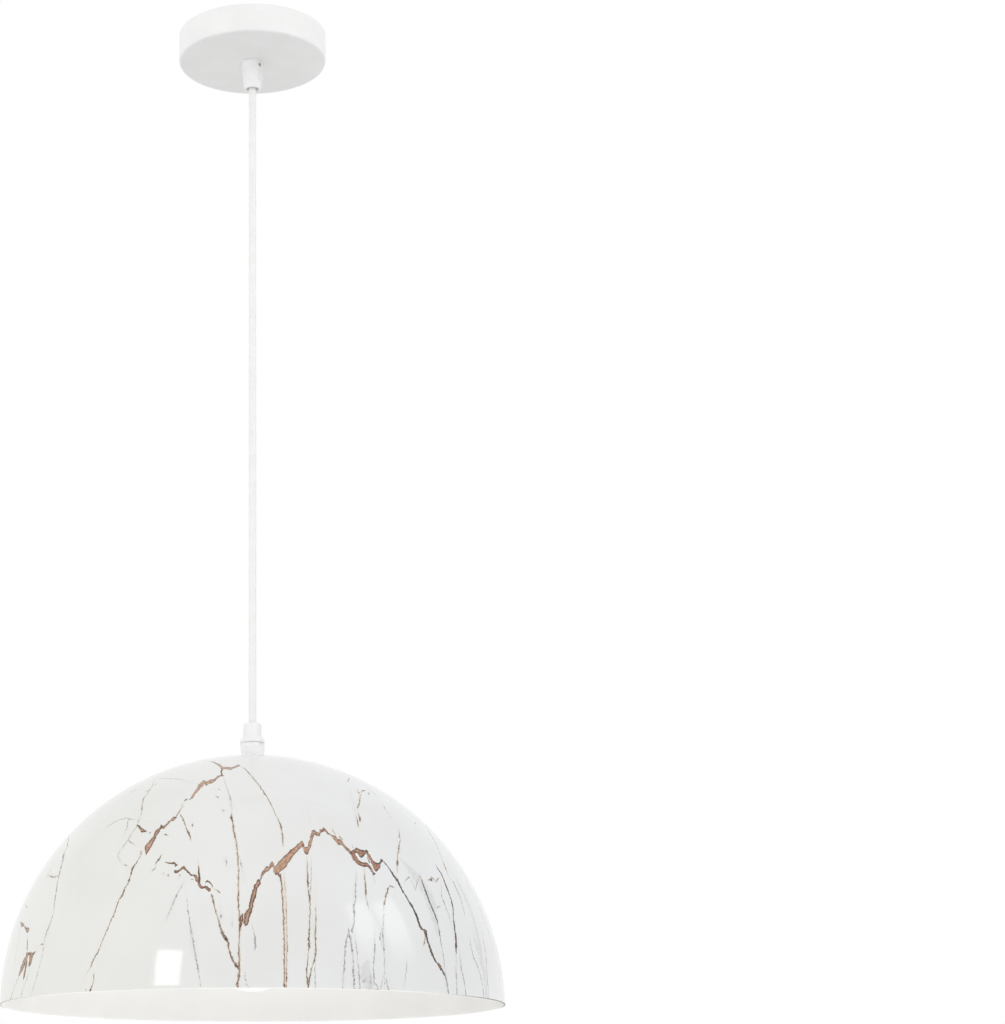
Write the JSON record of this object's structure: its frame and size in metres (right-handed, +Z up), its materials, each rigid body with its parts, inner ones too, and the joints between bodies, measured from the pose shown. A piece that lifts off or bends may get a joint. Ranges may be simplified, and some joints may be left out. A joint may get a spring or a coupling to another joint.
{
  "type": "pendant light",
  "caption": "Dome pendant light: marble-effect steel half-sphere shade with a screw-in bulb, hung on a straight white cord from a round ceiling canopy.",
  "frame": {"origin": "centre of the ceiling bracket's two slots, on the ceiling plane", "axes": "+Z up towards the ceiling, along the cord; +X to the viewer's right along the bracket's slots; -Y towards the viewer of the picture"},
  "size_m": [0.3499, 0.35, 0.7334],
  "materials": {
    "canopy_paint": "white powder coat, satin",
    "grip_plastic": "white moulded nylon, satin",
    "cord_sheath": "white sheath, satin",
    "bush_rubber": "soft white rubber",
    "shade_marble": "marble-effect gloss coat outside, white inside",
    "zinc_steel": "zinc plated",
    "brass_parts": "plain brass",
    "block_plastic": "natural nylon",
    "core_brown": "brown core",
    "core_blue": "blue core",
    "core_earth": "green and yellow core",
    "holder_white": "white moulded holder",
    "ceramic_insert": "glazed ceramic",
    "bulb_metal": "bright rolled metal",
    "bulb_black": "dark glass insulator",
    "bulb_white": "white moulded housing",
    "bulb_opal": "opal lens",
    "board_white": "white light board"
  },
  "bodies": {
    "ceiling_end": {"ceiling_bracket": "zinc_steel", "canopy_tube": "zinc_steel", "canopy_tube_nuts": "zinc_steel", "canopy": "canopy_paint", "canopy_grip": "grip_plastic", "canopy_grip_screw": "zinc_steel", "cord_entry": "cord_sheath", "terminal_block": "block_plastic", "terminal_barrels": "brass_parts", "terminal_screws": "zinc_steel", "canopy_core_live": "core_brown", "canopy_core_neutral": "core_blue", "canopy_core_earth": "core_earth", "earth_stud": "zinc_steel", "earth_tag": "brass_parts", "earth_nuts": "zinc_steel", "earth_link": "core_earth"},
    "upper_bush": {"canopy_grip_bush": "bush_rubber"},
    "hanging_cord": {"cord": "cord_sheath"},
    "lower_bush": {"shade_grip_bush": "bush_rubber"},
    "shade_end": {"shade_grip_cap": "grip_plastic", "shade_grip_base": "grip_plastic", "cord_exit": "cord_sheath", "shade": "shade_marble", "shade_tube": "zinc_steel", "shade_washer": "zinc_steel", "shade_nut": "zinc_steel", "holder_cap": "holder_white", "holder_insert": "ceramic_insert", "holder_screws": "brass_parts", "holder_contact": "brass_parts", "holder_shell": "brass_parts", "holder_skirt": "holder_white", "holder_core_live": "core_brown", "holder_core_neutral": "core_blue", "holder_core_earth": "core_earth"},
    "bulb_tip": {"bulb_eye": "bulb_metal"},
    "bulb": {"bulb_insulator": "bulb_black", "bulb_cap": "bulb_metal", "bulb_housing": "bulb_white", "bulb_board": "board_white", "bulb_lens": "bulb_opal"}
  },
  "joints": [
    {"name": "swing_side", "type": "hinge", "parent": "ceiling_end", "child": "upper_bush", "pos_m": [0, 0, -0.0428], "axis": [0, 1, 0], "range_deg": [-25, 25]},
    {"name": "swing_front", "type": "hinge", "parent": "upper_bush", "child": "hanging_cord", "pos_m": [0, 0, -0.0428], "axis": [1, 0, 0], "range_deg": [-25, 25]},
    {"name": "tilt_side", "type": "hinge", "parent": "hanging_cord", "child": "lower_bush", "pos_m": [0, 0, -0.5347], "axis": [0, 1, 0], "range_deg": [-15, 15]},
    {"name": "tilt_front", "type": "hinge", "parent": "lower_bush", "child": "shade_end", "pos_m": [0, 0, -0.5347], "axis": [1, 0, 0], "range_deg": [-15, 15]},
    {"name": "bulb_travel", "type": "slide", "parent": "shade_end", "child": "bulb_tip", "axis": [0, 0, -1], "range_m": [0, 0.02177]},
    {"name": "bulb_turn", "type": "hinge", "parent": "bulb_tip", "child": "bulb", "pos_m": [0, 0, -0.66], "axis": [0, 0, -1], "range_deg": [0, 2160]}
  ],
  "couplings": [
    {"joint": "bulb_travel", "follows": "bulb_turn", "m_per_rad": 0.0005775}
  ]
}
